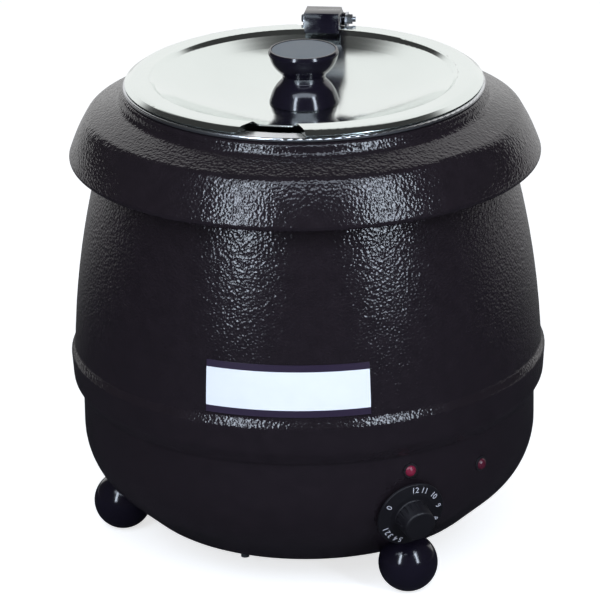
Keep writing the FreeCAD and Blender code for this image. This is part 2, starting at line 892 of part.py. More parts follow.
def thermostat_body():
    front = -dial_pad_depth
    body = block(thermostat_width, thermostat_height, front - thermostat_depth, front)
    holes = [rod(shaft_radius + pin_gap, front - shaft_tail - shaft_spare, front + 1)]
    for place in thermostat_screw_places():
        hole = rod(thermostat_screw_radius + pin_gap, front - thermostat_screw_bite - 1, front + 1)
        holes.append(hole.translated(place))
    return at_dial(body.cut(group(holes)))


def thermostat_screws():
    seat = dial_pad_rise - dial_sink_depth
    screw = pan_screw(thermostat_screw_radius, seat + dial_pad_depth + thermostat_screw_bite)
    screw.translate(Vector(0, 0, seat))
    return group(at_dial(screw.translated(place)) for place in thermostat_screw_places())


def bulb_height():
    return well_underside - bulb_radius - seat_gap


def thermostat_bulb():
    """Sensing bulb lying under the well, outside the heating ring."""
    bulb = rod(bulb_radius, -bulb_length / 2, bulb_length / 2)
    bulb.rotate(ORIGIN, Vector(0, 1, 0), 90)
    bulb.translate(Vector(0, 0, bulb_height()))
    return at_circle(bulb, bulb_circle, dial_angle)


def bulb_clip():
    """Saddle that holds the bulb up against the well."""
    inner = bulb_radius + seat_gap
    outer = inner + clip_sheet
    start = -clip_width / 2
    saddle = ring(outer, inner, start, -start)
    saddle.rotate(ORIGIN, Vector(0, 1, 0), 90)
    saddle = saddle.common(block(clip_width, 2 * outer, -outer, 0))
    legs = [Part.makeBox(clip_width, clip_sheet, inner - clip_sheet, Vector(start, y, 0))
            for y in (inner, -outer)]
    ears = [Part.makeBox(clip_width, clip_ear, clip_sheet, Vector(start, y, inner - clip_sheet))
            for y in (inner, -inner - clip_ear)]
    clip = saddle.fuse(legs + ears).removeSplitter()
    clip.translate(Vector(0, 0, bulb_height()))
    return at_circle(clip, bulb_circle, dial_angle)


def tube(points, bend, radius):
    """Round tube along straight runs joined by arcs of one radius."""
    corners = [Vector(*p) for p in points]
    edges, start = [], corners[0]
    for before, corner, after in zip(corners, corners[1:], corners[2:]):
        back, ahead = (before - corner).normalize(), (after - corner).normalize()
        half = 0.5 * back.getAngle(ahead)
        reach = bend / math.tan(half)
        middle = (back + ahead).normalize() * (bend / math.sin(half) - bend)
        first, last = corner + back * reach, corner + ahead * reach
        edges.append(Part.LineSegment(start, first).toShape())
        edges.append(Part.Arc(first, corner + middle, last).toShape())
        start = last
    edges.append(Part.LineSegment(start, corners[-1]).toShape())
    path = Part.Wire(edges)
    section = Part.Wire(Part.makeCircle(radius, corners[0], corners[1] - corners[0]))
    return path.makePipeShell([section], True, False)


def capillary_tube():
    """Thin tube from the back of the thermostat round to the end of the bulb."""
    back = -dial_pad_depth - thermostat_depth
    start, inward = [at_dial(Part.Vertex(0, capillary_rise, z)).Point for z in (back, back - capillary_lead)]
    outer = bulb_circle + capillary_out
    level = bulb_height()
    stops = [(capillary_sweep / 2, outer, level - capillary_dip),
             (capillary_sweep, outer, level),
             (capillary_sweep, bulb_circle, level),
             (bulb_length / 2, bulb_circle, level)]
    beside = [around(Part.Vertex(x, -r, z), dial_angle).Point for x, r, z in stops]
    return tube([start, inward] + beside, capillary_bend, capillary_radius)


# Lamps

def lamp_lens(name):
    """Domed red lens with a rim that seats on the wall."""
    angle, height = lamp_places[name]
    bottom = seam_gap + lamp_rim_thickness
    outline = [(0.0, bottom, 0.0),
               (lamp_lens_radius, bottom, 0.0),
               (lamp_lens_radius, bottom + lamp_lens_rise, lamp_lens_dome),
               (0.0, bottom + lamp_lens_rise, 0.0)]
    return on_wall(turned(outline), angle, bowl_radius, height)


def lamp_body(name):
    angle, height = lamp_places[name]
    body = rod(lamp_body_radius, -lamp_body_length, seam_gap)
    rim = rod(lamp_rim_radius, seam_gap, seam_gap + lamp_rim_thickness)
    return on_wall(body.fuse(rim).removeSplitter(), angle, bowl_radius, height)


def lamp_nuts():
    face = -shell_wall - wall_sag(nut_corner(lamp_body_radius))
    nut = hex_nut(lamp_body_radius, face - nut_height(lamp_body_radius))
    return group(on_wall(nut, angle, bowl_radius, height) for angle, height in lamp_places.values())


# Heater stack

def element_ends():
    """The two places, as angles from the front, where the heating ring turns down."""
    return [180 - element_gap_angle / 2, 180 + element_gap_angle / 2]


def heating_element():
    """Tubular ring whose two ends bend down to their terminals."""
    def spot(angle, radius, height):
        a = math.radians(angle)
        return Vector(radius * math.sin(a), -radius * math.cos(a), height)

    first, last = element_ends()
    inner = element_bend * (1 - math.sqrt(0.5))
    edges = []
    ring_arc = Part.Arc(spot(first, element_circle, element_height),
                        spot(0, element_circle, element_height),
                        spot(last - 360, element_circle, element_height)).toShape()
    for angle, side in ((first, 1), (last, -1)):
        tangent = spot(angle + 90, side, 0.0)
        corner = spot(angle, element_circle, element_height)
        foot_point = corner + tangent * element_bend + Vector(0, 0, -element_bend)
        middle = corner + tangent * (element_bend * math.sqrt(0.5)) + Vector(0, 0, -inner)
        edges.append(Part.Arc(corner, middle, foot_point).toShape())
        edges.append(Part.LineSegment(foot_point, foot_point - Vector(0, 0, element_tail)).toShape())
    path = Part.Wire(Part.__sortEdges__([edges[1], edges[0], ring_arc, edges[2], edges[3]]))
    begin = edges[1].valueAt(edges[1].LastParameter)
    section = Part.Wire(Part.makeCircle(element_radius, begin, UP))
    return path.makePipeShell([section], True, False)


def element_tails():
    """Places of the two upright ends, as (x, y)."""
    places = []
    for angle, side in zip(element_ends(), (1, -1)):
        a = math.radians(angle)
        places.append((element_circle * math.sin(a) + side * element_bend * math.cos(a),
                       -element_circle * math.cos(a) + side * element_bend * math.sin(a)))
    return places


def plate_with_tail_holes(radius, bottom, thickness):
    plate = ring(radius, stud_radius + hole_gap, bottom, bottom + thickness)
    hole = through(element_radius + tail_hole_gap, bottom)
    return plate.cut(group(hole.translated(Vector(x, y, 0)) for x, y in element_tails()))


def heater_clamp_plate():
    return plate_with_tail_holes(clamp_radius, clamp_underside, clamp_thickness)


def shield_bottom():
    return clamp_underside - nut_height(stud_radius) - spacer_length - shield_thickness


def heat_shield():
    return plate_with_tail_holes(shield_radius, shield_bottom(), shield_thickness)


def heater_nuts():
    return group(hex_nut(stud_radius, face - nut_height(stud_radius)) for face in (clamp_underside, shield_bottom()))


def shield_spacer():
    bottom = shield_bottom() + shield_thickness
    return ring(spacer_radius, stud_radius + pin_gap, bottom, bottom + spacer_length)


def thermal_cutout():
    """Overheat switch clipped to the underside of the clamp plate."""
    top = clamp_underside
    base = top - cutout_height
    cap = rod(cutout_radius, base, top)
    flange = block(3.0 * cutout_radius, cutout_radius, top - cutout_flange, top)
    tab = block(tab_thickness, tab_width, base - tab_length, base)
    tabs = [tab.translated(Vector(side * tab_spacing / 2, 0, 0)) for side in (-1, 1)]
    cutout = cap.fuse([flange] + tabs).removeSplitter()
    return cutout.translated(Vector(*cutout_place, 0))


# Tie rods, base plate and supply connection

def tie_rods():
    tie = rod(rod_radius, bowl_floor_height - rod_tail, well_underside)
    return group(at_circle(tie, rod_circle, angle) for angle in rod_angles)


def tie_rod_nuts():
    nut = hex_nut(rod_radius, bowl_floor_height - nut_height(rod_radius))
    return group(at_circle(nut, rod_circle, angle) for angle in rod_angles)


def base_plate():
    top = bowl_floor_height
    plate = rod(base_plate_radius, top - base_plate_thickness, top)
    hole = through(base_screw_radius + hole_gap, top)
    cuts = [at_circle(hole, base_screw_circle, angle) for angle in base_screw_angles]
    vent = through(vent_radius, top)
    cuts += [at_circle(vent, vent_circle, 360.0 * k / vent_count) for k in range(vent_count)]
    return plate.cut(group(cuts))


def base_plate_screws():
    screw = upturned(pan_screw(base_screw_radius, base_plate_thickness + base_screw_bite),
                     bowl_floor_height - base_plate_thickness)
    return group(at_circle(screw, base_screw_circle, angle) for angle in base_screw_angles)


def at_terminals(shape):
    """A copy of the shape at each pole of the terminal block, while that still lies on the axis."""
    return group(shape.translated(Vector(step * terminal_pitch, 0, 0)) for step in (-1, 0, 1))


def terminal_block():
    top = bowl_floor_top + terminal_height
    body = block(terminal_length, terminal_width, bowl_floor_top, top)
    bore = rod(terminal_screw_radius + pin_gap, top - terminal_screw_bite - 1, top + 1)
    mouth = Part.makeCylinder(wire_hole_radius, 2 * terminal_width,
                              Vector(0, -terminal_width, bowl_floor_top + wire_hole_height), Vector(0, 1, 0))
    return at_circle(body.cut(at_terminals(bore.fuse(mouth))), terminal_circle, terminal_angle)


def terminal_screws():
    screw = pan_screw(terminal_screw_radius, terminal_screw_bite)
    screw.translate(Vector(0, 0, bowl_floor_top + terminal_height))
    return at_circle(at_terminals(screw), terminal_circle, terminal_angle)


def earth_stud():
    stud = rod(earth_radius, bowl_floor_top, bowl_floor_top + earth_length)
    foot_disc = rod(earth_foot_radius, bowl_floor_top, bowl_floor_top + earth_foot_thickness)
    return at_circle(stud.fuse(foot_disc).removeSplitter(), earth_circle, earth_angle)


def earth_nut():
    return at_circle(hex_nut(earth_radius, bowl_floor_top + earth_foot_thickness), earth_circle, earth_angle)


def cord_gland():
    """Cord inlet: a stepped bush with a bore, held by a nut inside."""
    outline = [(gland_bore, -gland_tail, 0.0),
               (gland_radius, -gland_tail, 0.0),
               (gland_radius, seam_gap, 0.0),
               (gland_collar_radius, seam_gap, 0.0),
               (gland_collar_radius, gland_collar_straight, gland_fillet),
               (gland_radius, gland_collar_length, gland_fillet),
               (gland_bore, gland_collar_length, 0.0)]
    return on_wall(turned(outline), gland_angle, bowl_radius, gland_height)


def gland_nut():
    face = -shell_wall - wall_sag(gland_nut_radius)
    nut = ring(gland_nut_radius, gland_radius + pin_gap, face - gland_nut_thickness, face)
    return on_wall(nut, gland_angle, bowl_radius, gland_height)


pieces = {
    "lower_bowl": lower_bowl, "upper_shell": upper_shell, "collar": collar, "label_plate": label_plate,
    "water_well": water_well, "well_gasket": well_gasket, "insulation_jacket": insulation_jacket,
    "soup_pot": soup_pot, "lid": lid, "lid_knob": lid_knob, "lid_knob_disc": lid_knob_disc,
    "lid_knob_washer": lid_knob_washer, "lid_knob_screw": lid_knob_screw,
    "hinge_bracket": hinge_bracket, "bracket_rivets": bracket_rivets, "hinge_pin": hinge_pin,
    "hinge_pin_nut": hinge_pin_nut, "hinge_block": hinge_block, "leaf_screws": leaf_screws,
    "foot_screws": foot_screws, "control_knob": control_knob, "thermostat_shaft": thermostat_shaft,
    "thermostat_body": thermostat_body, "thermostat_screws": thermostat_screws,
    "thermostat_bulb": thermostat_bulb, "bulb_clip": bulb_clip, "capillary_tube": capillary_tube,
    "lamp_nuts": lamp_nuts, "heating_element": heating_element,
    "heater_clamp_plate": heater_clamp_plate, "heater_nuts": heater_nuts,
    "shield_spacer": shield_spacer, "heat_shield": heat_shield, "thermal_cutout": thermal_cutout,
    "tie_rods": tie_rods, "tie_rod_nuts": tie_rod_nuts, "base_plate": base_plate,
    "base_plate_screws": base_plate_screws, "terminal_block": terminal_block,
    "terminal_screws": terminal_screws, "earth_stud": earth_stud, "earth_nut": earth_nut,
    "cord_gland": cord_gland, "gland_nut": gland_nut,
}

os.makedirs("parts", exist_ok=True)
for name, make in pieces.items():
    make().exportStep(f"parts/{name}.step")
for name, angle in foot_angles.items():
    foot(angle).exportStep(f"parts/foot_{name}.step")
for name in lamp_places:
    lamp_lens(name).exportStep(f"parts/{name}_lamp_lens.step")
    lamp_body(name).exportStep(f"parts/{name}_lamp_body.step")
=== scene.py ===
import json
import math

import bpy
from bpy.props import FloatProperty, IntProperty, PointerProperty, StringProperty
from mathutils import Matrix, Vector


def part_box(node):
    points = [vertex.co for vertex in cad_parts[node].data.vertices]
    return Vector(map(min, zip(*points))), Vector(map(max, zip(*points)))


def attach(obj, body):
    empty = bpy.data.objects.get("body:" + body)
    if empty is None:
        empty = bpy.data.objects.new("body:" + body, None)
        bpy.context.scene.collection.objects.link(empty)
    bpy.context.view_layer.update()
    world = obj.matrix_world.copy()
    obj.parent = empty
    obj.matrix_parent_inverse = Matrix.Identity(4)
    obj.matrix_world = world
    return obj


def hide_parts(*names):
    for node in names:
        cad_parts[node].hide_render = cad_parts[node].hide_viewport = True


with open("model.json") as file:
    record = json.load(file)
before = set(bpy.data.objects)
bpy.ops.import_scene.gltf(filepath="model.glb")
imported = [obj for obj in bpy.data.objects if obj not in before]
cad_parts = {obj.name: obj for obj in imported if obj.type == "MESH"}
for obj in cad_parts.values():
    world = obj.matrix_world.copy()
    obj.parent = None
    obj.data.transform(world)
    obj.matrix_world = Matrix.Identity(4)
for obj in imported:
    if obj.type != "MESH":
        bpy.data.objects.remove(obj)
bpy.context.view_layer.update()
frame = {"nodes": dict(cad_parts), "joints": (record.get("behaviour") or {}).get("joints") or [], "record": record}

bl_info = {
    "name": "Soup kettle",
    "version": (1, 0, 0),
    "blender": (4, 5, 0),
    "location": "View3D > Sidebar > Kettle",
    "description": "Finishes, dial, lamps, hinge block and studio for a countertop soup kettle",
    "category": "Object",
}

MM = 0.001
NODES = frame["nodes"]
SLOT_OF = {part["node"]: part["material_slot"] for part in frame["record"]["subparts"]}
JOINTS = {joint["name"]: joint for joint in frame["joints"]}

# Places of a Mix node's sockets, because several of them share a name
FACTOR, VALUE_A, VALUE_B, COLOUR_A, COLOUR_B = 0, 2, 3, 6, 7
MIXED_VALUE, MIXED_COLOUR = 0, 2
# Radians that a wave texture turns in one unit at scale 1
WAVE_RATE = 20

# Cone of the dial's skirt, as radius and height over the joint: its outer edge, the hub's ledge
SKIRT_EDGE = (25.0 * MM, 3.6 * MM)
SKIRT_LEDGE = (16.5 * MM, 5.2 * MM)
# Degrees clockwise from the dial's top
NUMBER_ANGLES = {12: 2, 11: 23, 10: 50, 9: 80, 8: 110, 7: 139, 6: 169, 5: 198, 4: 210, 3: 225,
                 2: 236, 1: 247, 0: 299}

# Lenses: glow of the lit one, rounding of the facets' edges, distance that is welded
LIT_GLOW = 0.06
FACET_EDGE = 0.15 * MM
WELD = 0.01 * MM

# Hinge block: reach and top of its rear end, in radii of the knuckle about the pin
REAR_REACH = 0.5
REAR_TOP = 0.84
# A face looks rearward where its normal has more than this along Y
REARWARD = 0.9
# Edges that turn by more than this are rounded, or stay sharp in the shading
SHARP_EDGE = math.radians(35)

# Softboxes: degrees round the kettle, degrees above it, width and height in metres, power setting
SOFTBOXES = (
    ("softbox_left", -24.0, 24.0, (0.22, 1.1), "side_light"),
    ("softbox_right", 46.0, 24.0, (0.22, 1.1), "side_light"),
    ("softbox_top", 8.0, 52.0, (2.4, 0.45), "top_light"),
)
SOFTBOX_DISTANCE = 1.7
SOFTBOX_AIM = Vector((0, 0, 0.2))
SOFTBOX_COLOUR = "#e4f0ff"

# Paper floor: its two tones, their patches in metres, its tone in reflections
PAPER, PAPER_LIGHT = "#e9e9ea", "#efeff0"
PAPER_PATCH = 0.4
PAPER_MIRRORED = "#3c3c40"
# Glow of the paper to the camera, and in reflections of the floor behind the kettle
PAPER_GLOW = 0.7
BEHIND_GLOW = 0.7
# Metres behind the kettle over which that second glow comes up
BEHIND_NEAR, BEHIND_FAR = 0.15, 1.6

# White wall in reflections: how far it leans overhead, where it begins, and light before and on it
WALL_LEAN = 0.3
WALL_EDGE = (0.73, 0.82)
WALL_LIGHT = (0.04, 1.0)
WHITE = (1, 1, 1, 1)


class KettleSizes(bpy.types.PropertyGroup):
    """Sizes of the pieces and patterns that are made here, in metres"""
    number_radius: FloatProperty(
        name="Number ring", description="Radius of the ring of dial numbers",
        default=20.6 * MM, unit="LENGTH")
    number_size: FloatProperty(
        name="Number size", description="Type size of the dial numbers",
        default=6.0 * MM, unit="LENGTH")
    number_relief: FloatProperty(
        name="Number relief", description="Thickness of the printed numbers",
        default=0.12 * MM, unit="LENGTH")
    lens_radius: FloatProperty(
        name="Lens radius", description="Radius of a lamp lens",
        default=4.2 * MM, unit="LENGTH")
    lens_rise: FloatProperty(
        name="Lens rise", description="Height of a lamp lens over its rim",
        default=3.2 * MM, unit="LENGTH")
    lens_facets: IntProperty(
        name="Lens facets", description="Facets round a lamp lens", default=12)
    lens_rings: IntProperty(
        name="Lens rings", description="Rings of facets on a lens before it is halved", default=10)
    block_width: FloatProperty(
        name="Block width", description="Width of the hinge block",
        default=25.2 * MM, unit="LENGTH")
    block_depth: FloatProperty(
        name="Block depth", description="Depth of the hinge block's level top",
        default=18.0 * MM, unit="LENGTH")
    block_bevel: FloatProperty(
        name="Block bevel", description="Rounding on the hinge block's edges",
        default=0.9 * MM, unit="LENGTH")
    pin_hole: FloatProperty(
        name="Pin hole", description="Radius of the hole through the hinge block",
        default=2.05 * MM, unit="LENGTH")
    hammer_pitch: FloatProperty(
        name="Hammer pitch", description="Distance between the coat's pebbles",
        default=1.9 * MM, unit="LENGTH")
    stripe_width: FloatProperty(
        name="Stripe width", description="Width of the stripes along the label",
        default=4.9 * MM, unit="LENGTH")


class KettleColours(bpy.types.PropertyGroup):
    """Finish colours as sRGB hex values"""
    coat: StringProperty(
        name="Coat", description="Hammered coat", default="#181418")
    coat_light: StringProperty(
        name="Coat, light", description="Thin places of the coat", default="#221c21")
    steel: StringProperty(
        name="Steel", description="Polished lid and flange", default="#e4eae7")
    moulding: StringProperty(
        name="Moulding", description="Gloss black mouldings", default="#14111c")
    disc: StringProperty(
        name="Knob disc", description="Disc in the knob's top", default="#41525f")
    dial: StringProperty(
        name="Dial", description="Control knob", default="#121016")
    number: StringProperty(
        name="Number", description="Dial numbers", default="#b4b4bd")
    label: StringProperty(
        name="Label", description="Blank field of the label", default="#e6e9f2")
    stripe: StringProperty(
        name="Stripe", description="Stripes along the label", default="#2b2036")
    lamp_lit: StringProperty(
        name="Lamp, lit", description="Lens of the lit lamp", default="#741632")
    lamp_unlit: StringProperty(
        name="Lamp, unlit", description="Lens of the unlit lamp", default="#4c1024")


class KettleStudio(bpy.types.PropertyGroup):
    """Camera and light"""
    azimuth: FloatProperty(
        name="Azimuth", description="Camera's way round the kettle",
        default=math.radians(7.9), subtype="ANGLE")
    elevation: FloatProperty(
        name="Elevation", description="Camera's height as an angle",
        default=math.radians(20.63), subtype="ANGLE")
    distance: FloatProperty(
        name="Distance", description="Camera to the aim point", default=3.2, unit="LENGTH")
    aim_height: FloatProperty(
        name="Aim height", description="Height of the aim point", default=0.1741, unit="LENGTH")
    aim_left: FloatProperty(
        name="Aim left", description="Aim point left of the axis",
        default=5.4 * MM, unit="LENGTH")
    roll: FloatProperty(
        name="Roll", description="Camera roll", default=math.radians(0.97), subtype="ANGLE")
    lens: FloatProperty(
        name="Lens", description="Focal length in millimetres", default=267.3)
    floor_size: FloatProperty(
        name="Floor", description="Side of the floor", default=14.0, unit="LENGTH")
    side_light: FloatProperty(
        name="Side light", description="Power of each side softbox in watts", default=12.0)
    top_light: FloatProperty(
        name="Top light", description="Power of the top softbox in watts", default=14.0)
    ambient: FloatProperty(
        name="Ambient", description="Light from all round", default=0.25)


def linear(code):
    """sRGB hex to linear RGBA."""
    channels = [int(code[k:k + 2], 16) / 255 for k in (1, 3, 5)]
    return tuple(c / 12.92 if c <= 0.04045 else ((c + 0.055) / 1.055) ** 2.4
                 for c in channels) + (1.0,)


def shade(code, factor):
    """A hex colour's linear value made lighter or darker."""
    return tuple(min(c * factor, 1.0) for c in linear(code)[:3]) + (1.0,)


def add_node(tree, kind, inputs=None, **settings):
    """Adds a node with its settings; an input is linked from a socket or set to a value."""
    node = tree.nodes.new(kind)
    for name, value in settings.items():
        setattr(node, name, value)
    for key, value in (inputs or {}).items():
        if isinstance(value, bpy.types.NodeSocket):
            tree.links.new(value, node.inputs[key])
        else:
            node.inputs[key].default_value = value
    return node


def new_material(name):
    """Empty node material: the material, its tree, and its object coordinates in metres."""
    material = bpy.data.materials.new(name)
    material.use_nodes = True
    tree = material.node_tree
    tree.nodes.clear()
    return material, tree, add_node(tree, "ShaderNodeTexCoord").outputs["Object"]


def close_material(tree, **inputs):
    """Principled shader with these inputs, joined to the output. Underscores stand for spaces."""
    shader = add_node(tree, "ShaderNodeBsdfPrincipled",
                      {key.replace("_", " "): value for key, value in inputs.items()})
    add_node(tree, "ShaderNodeOutputMaterial", {"Surface": shader.outputs[0]})


def mottled(tree, coords, patch, tones, dullness):
    """Colour and roughness that drift together between two values, over patches of a real size."""
    drift = add_node(tree, "ShaderNodeTexNoise",
                     {"Vector": coords, "Scale": 1 / patch, "Detail": 3.0}).outputs["Fac"]
    colour = add_node(tree, "ShaderNodeMix",
                      {FACTOR: drift, COLOUR_A: tones[0], COLOUR_B: tones[1]}, data_type="RGBA")
    rough = add_node(tree, "ShaderNodeMapRange",
                     {"Value": drift, "To Min": dullness[0], "To Max": dullness[1]})
    return colour.outputs[MIXED_COLOUR], rough.outputs["Result"]


def hammered_coat(colours, sizes):
    """Stoved hammer-finish enamel: it sets in small pebbles, so highlights break into sparkles."""
    material, tree, coords = new_material("hammered_enamel")
    colour, rough = mottled(tree, coords, 9 * MM,
                            (linear(colours.coat), linear(colours.coat_light)), (0.11, 0.20))
    swell_size = 1.8 * sizes.hammer_pitch
    pebbles = add_node(tree, "ShaderNodeTexVoronoi",
                       {"Vector": coords, "Scale": 1 / sizes.hammer_pitch, "Smoothness": 0.7},
                       feature="SMOOTH_F1")
    swells = add_node(tree, "ShaderNodeTexNoise",
                      {"Vector": coords, "Scale": 1 / swell_size, "Detail": 2.0})
    height = add_node(tree, "ShaderNodeMath",
                      {0: pebbles.outputs["Distance"], 1: swells.outputs["Fac"]}, operation="ADD")
    bump = add_node(tree, "ShaderNodeBump",
                    {"Height": height.outputs[0], "Strength": 0.5, "Distance": 0.6 * MM})
    close_material(tree, Base_Color=colour, Roughness=rough, Normal=bump.outputs[0])
    return material


def bare_metal(name, code, dullness, step):
    """Turned or rolled metal: a slow drift from bright to dull, and faint rings.

    The rings stand 2 pi steps apart, coarser than real turning marks so that they show.
    """
    material, tree, coords = new_material(name)
    colour, rough = mottled(tree, coords, 40 * MM, (shade(code, 0.96), shade(code, 1.03)), dullness)
    rings = add_node(tree, "ShaderNodeTexWave",
                     {"Vector": coords, "Scale": 1 / (WAVE_RATE * step), "Distortion": 1.5,
                      "Detail": 2.0}, wave_type="RINGS", rings_direction="Z")
    bump = add_node(tree, "ShaderNodeBump",
                    {"Height": rings.outputs["Fac"], "Strength": 0.04, "Distance": 0.05 * MM})
    close_material(tree, Base_Color=colour, Metallic=1.0, Roughness=rough, Normal=bump.outputs[0])
    return material


def moulded(name, code, dullness, grain, coat=0.0):
    """Moulded plastic, rubber or ceramic: a slow drift of gloss and a skin grain.

    The grain is coarser than the real one so that it shows.
    """
    material, tree, coords = new_material(name)
    colour, rough = mottled(tree, coords, 12 * MM, (shade(code, 0.85), shade(code, 1.15)), dullness)
    skin = add_node(tree, "ShaderNodeTexNoise",
                    {"Vector": coords, "Scale": 1 / grain, "Detail": 2.0})
    bump = add_node(tree, "ShaderNodeBump",
                    {"Height": skin.outputs["Fac"], "Strength": 0.12, "Distance": 0.1 * MM})
    close_material(tree, Base_Color=colour, Roughness=rough, Coat_Weight=coat,
                   Normal=bump.outputs[0])
    return material


def glass_wool(code):
    """Needled glass wool: dull, straw-coloured tufts about 1.5 mm across."""
    tuft = 1.5 * MM
    material, tree, coords = new_material("glass_wool")
    colour, rough = mottled(tree, coords, 4 * MM, (shade(code, 0.75), shade(code, 1.2)), (0.85, 1.0))
    fibre = add_node(tree, "ShaderNodeTexNoise",
                     {"Vector": coords, "Scale": 1 / tuft, "Detail": 6.0})
    bump = add_node(tree, "ShaderNodeBump",
                    {"Height": fibre.outputs["Fac"], "Strength": 0.8, "Distance": tuft})
    close_material(tree, Base_Color=colour, Roughness=rough, Normal=bump.outputs[0])
    return material


def printed_label(colours, sizes):
    """Printed foil label: a pale satin field, left blank, between two dark stripes."""
    low, high = (corner[2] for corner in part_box("label_plate"))
    material, tree, coords = new_material("printed_foil_label")
    field, rough = mottled(tree, coords, 15 * MM,
                           (shade(colours.label, 0.93), linear(colours.label)), (0.30, 0.42))
    height = add_node(tree, "ShaderNodeSeparateXYZ", {"Vector": coords}).outputs["Z"]
    away = add_node(tree, "ShaderNodeMath", {0: height, 1: 0.5 * (low + high)},
                    operation="SUBTRACT")
    half = add_node(tree, "ShaderNodeMath", {0: away.outputs[0]}, operation="ABSOLUTE")
    edge = add_node(tree, "ShaderNodeMath",
                    {0: half.outputs[0], 1: 0.5 * (high - low) - sizes.stripe_width},
                    operation="GREATER_THAN")
    print_colour = add_node(tree, "ShaderNodeMix",
                            {FACTOR: edge.outputs[0], COLOUR_A: field,
                             COLOUR_B: linear(colours.stripe)}, data_type="RGBA")
    close_material(tree, Base_Color=print_colour.outputs[MIXED_COLOUR], Roughness=rough)
    return material


def lamp_lens(name, code, glow):
    """Dyed polycarbonate lens, satin, so it shows its red and no sharp highlight."""
    material, tree, coords = new_material(name)
    colour, rough = mottled(tree, coords, 3 * MM, (shade(code, 0.8), shade(code, 1.15)), (0.26, 0.38))
    close_material(tree, Base_Color=colour, Roughness=rough, Emission_Color=linear(code),
                   Emission_Strength=glow)
    return material


def finishes(colours, sizes):
    """One material for each material slot of the record, and the ink of the dial's numbers."""
    return {
        "hammered_coat": hammered_coat(colours, sizes),
        "label_print": printed_label(colours, sizes),
        # Polished stainless: a mirror with a slight blur
        "polished_steel": bare_metal("polished_stainless", colours.steel, (0.09, 0.17), 0.8 * MM),
        # Satin stainless: soft, wide reflections
        "satin_steel": bare_metal("satin_stainless", "#d3d5d8", (0.22, 0.27), 0.6 * MM),
        # Moulded silicone: dull grey black
        "gasket_rubber": moulded("silicone_rubber", "#2a2a2c", (0.55, 0.7), 0.8 * MM),
        "insulation_wool": glass_wool("#c8bf9c"),
        # Phenolic from a polished mould: black with small sharp highlights
        "gloss_black": moulded("gloss_phenolic", colours.moulding, (0.10, 0.20), 0.9 * MM, coat=0.2),
        # Moulded ABS: even satin grey
        "knob_disc_grey": moulded("satin_abs_disc", colours.disc, (0.28, 0.40), 0.6 * MM),
        # ABS from a textured mould: matt black
        "dial_black": moulded("moulded_abs_dial", colours.dial, (0.42, 0.56), 0.5 * MM),
        # Zinc-plated steel: grey and half bright
        "plated_steel": bare_metal("zinc_plated_steel", "#c3c6cb", (0.24, 0.40), 0.5 * MM),
        # Alloy sheath browned by heat: dark and dull
        "heater_sheath": bare_metal("heat_darkened_sheath", "#6f665c", (0.35, 0.55), 0.7 * MM),
        # Rolled aluminium: pale, with soft reflections
        "spread_aluminium": bare_metal("mill_aluminium", "#d6d8da", (0.28, 0.42), 0.7 * MM),
        # Pressed bakelite: brown and half dull
        "thermostat_case": moulded("bakelite_case", "#4a4038", (0.40, 0.55), 0.6 * MM),
        # Drawn copper: warm and fairly bright
        "copper": bare_metal("bare_copper", "#c98a63", (0.20, 0.38), 0.4 * MM),
        "lens_red": lamp_lens("unlit_red_lens", colours.lamp_unlit, 0.0),
        # Moulded nylon: black and half dull
        "lamp_case": moulded("nylon_lamp_case", "#1b1b1f", (0.35, 0.5), 0.5 * MM),
        # Fired steatite: cream and dull
        "terminal_ceramic": moulded("steatite", "#e2dfd6", (0.45, 0.6), 0.5 * MM),
        # Turned brass: yellow and fairly bright
        "earth_brass": bare_metal("bare_brass", "#cfae62", (0.22, 0.36), 0.4 * MM),
        # Moulded nylon: black and half dull
        "gland_plastic": moulded("nylon_gland", "#1c1c20", (0.36, 0.5), 0.6 * MM),
        # Pad-printed ink: matt off-white
        "number_print": moulded("pad_printed_white", colours.number, (0.45, 0.6), 0.3 * MM),
    }


def deselect():
    """Nothing is selected, so that an operator acts on new pieces alone."""
    bpy.ops.object.select_all(action="DESELECT")


def settle(piece, name, material, body, replaced=()):
    """Applies a piece's place, names it, gives it its finish and hands it to the frame."""
    deselect()
    piece.select_set(True)
    bpy.context.view_layer.objects.active = piece
    bpy.ops.object.transform_apply(location=True, rotation=True, scale=True)
    piece.name = name
    piece.data.name = name
    piece.data.materials.clear()
    piece.data.materials.append(material)
    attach(piece, body)
    if replaced:
        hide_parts(*replaced)


def apply_modifiers(piece):
    """Applies a piece's modifiers in their order."""
    bpy.context.view_layer.objects.active = piece
    for modifier in list(piece.modifiers):
        bpy.ops.object.modifier_apply(modifier=modifier.name)


def cross_rod(radius, length, middle, sides):
    """Rod along X about a point, for joining to a piece or cutting from it."""
    deselect()
    bpy.ops.mesh.primitive_cylinder_add(vertices=sides, radius=radius, depth=length,
                                        location=middle, rotation=(0, math.pi / 2, 0))
    bpy.ops.object.transform_apply(location=True, rotation=True, scale=True)
    return bpy.context.object


def outward_frame(origin, outward):
    """Matrix that lays local +Z outward, with local +Y as near upright as it can be."""
    z = Vector(outward).normalized()
    x = Vector((0, 0, 1)).cross(z).normalized()
    y = z.cross(x)
    turn = Matrix((x, y, z)).transposed().to_4x4()
    return Matrix.Translation(origin) @ turn


def direction(azimuth, elevation):
    """Unit vector from the kettle to a place round it and above it. Azimuth 0 is the front."""
    level = math.cos(elevation)
    return Vector((math.sin(azimuth) * level, -math.cos(azimuth) * level, math.sin(elevation)))


class KETTLE_OT_finishes(bpy.types.Operator):
    """Give every solid of the kettle its finish"""
    bl_idname = "kettle.finishes"
    bl_label = "Finishes"

    def execute(self, context):
        scene = context.scene
        made = finishes(scene.kettle_colours, scene.kettle_sizes)
        for name, node in NODES.items():
            node.data.materials.clear()
            node.data.materials.append(made[SLOT_OF[name]])
        return {"FINISHED"}


